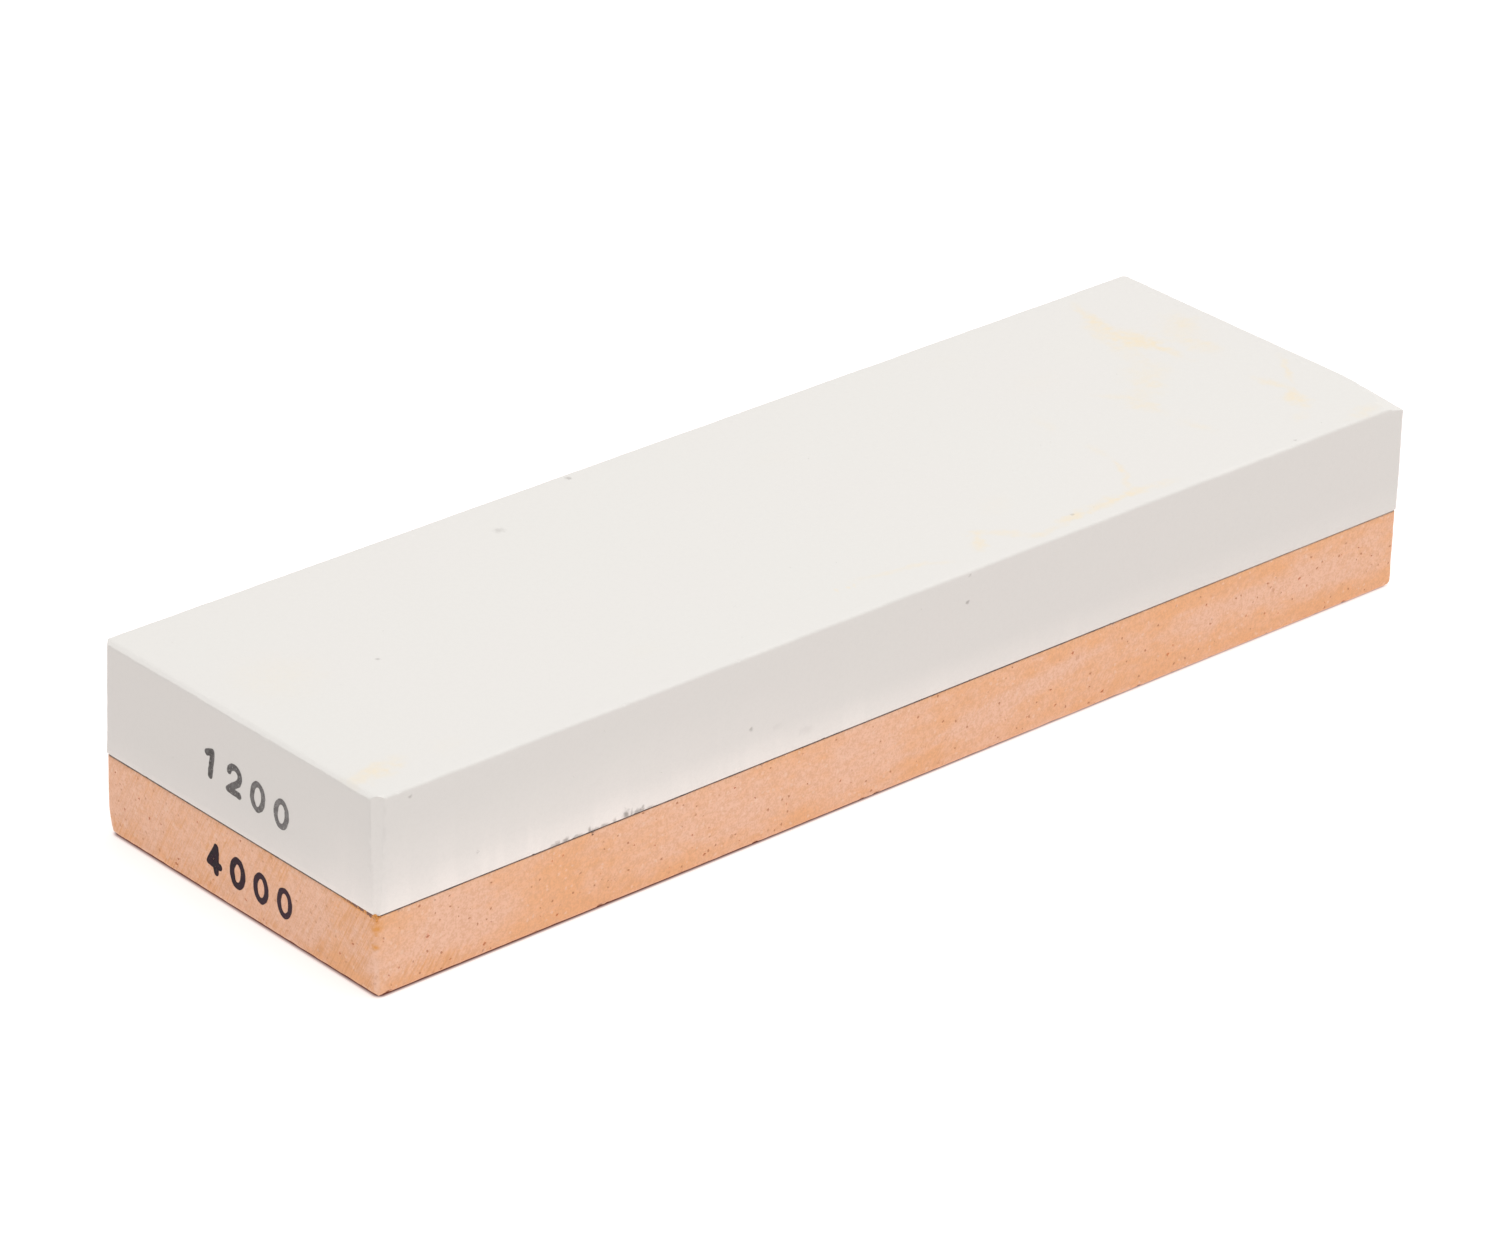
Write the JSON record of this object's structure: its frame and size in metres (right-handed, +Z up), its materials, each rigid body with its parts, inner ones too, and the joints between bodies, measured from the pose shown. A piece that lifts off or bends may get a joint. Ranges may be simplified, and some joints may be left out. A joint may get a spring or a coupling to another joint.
{
  "type": "two-sided sharpening stone",
  "caption": "Two-sided bench whetstone: a coarse white block glued to a thinner fine peach block, with eased edges and a grit number inked on one end of each block.",
  "frame": {"origin": "middle of the underside, which is the fine block's honing face", "axes": "+X along the stone away from the stamped end, +Y across it, +Z up through the fine block and then the coarse block"},
  "size_m": [0.2001, 0.0608, 0.031],
  "materials": {
    "coarse_abrasive": "matte, fine-grained white vitrified abrasive",
    "fine_abrasive": "matte, mottled peach vitrified abrasive with small pits",
    "cured_resin": "thin line of dark cured glue",
    "grey_ink": "thin grey stamp ink",
    "dark_ink": "dark stamp ink"
  },
  "bodies": {
    "root": {"fine_stone": "fine_abrasive", "bond_layer": "cured_resin", "coarse_stone": "coarse_abrasive", "coarse_grit_digit_1": "grey_ink", "coarse_grit_digit_2": "grey_ink", "coarse_grit_digit_3": "grey_ink", "coarse_grit_digit_4": "grey_ink", "fine_grit_digit_1": "dark_ink", "fine_grit_digit_2": "dark_ink", "fine_grit_digit_3": "dark_ink", "fine_grit_digit_4": "dark_ink"}
  },
  "joints": []
}
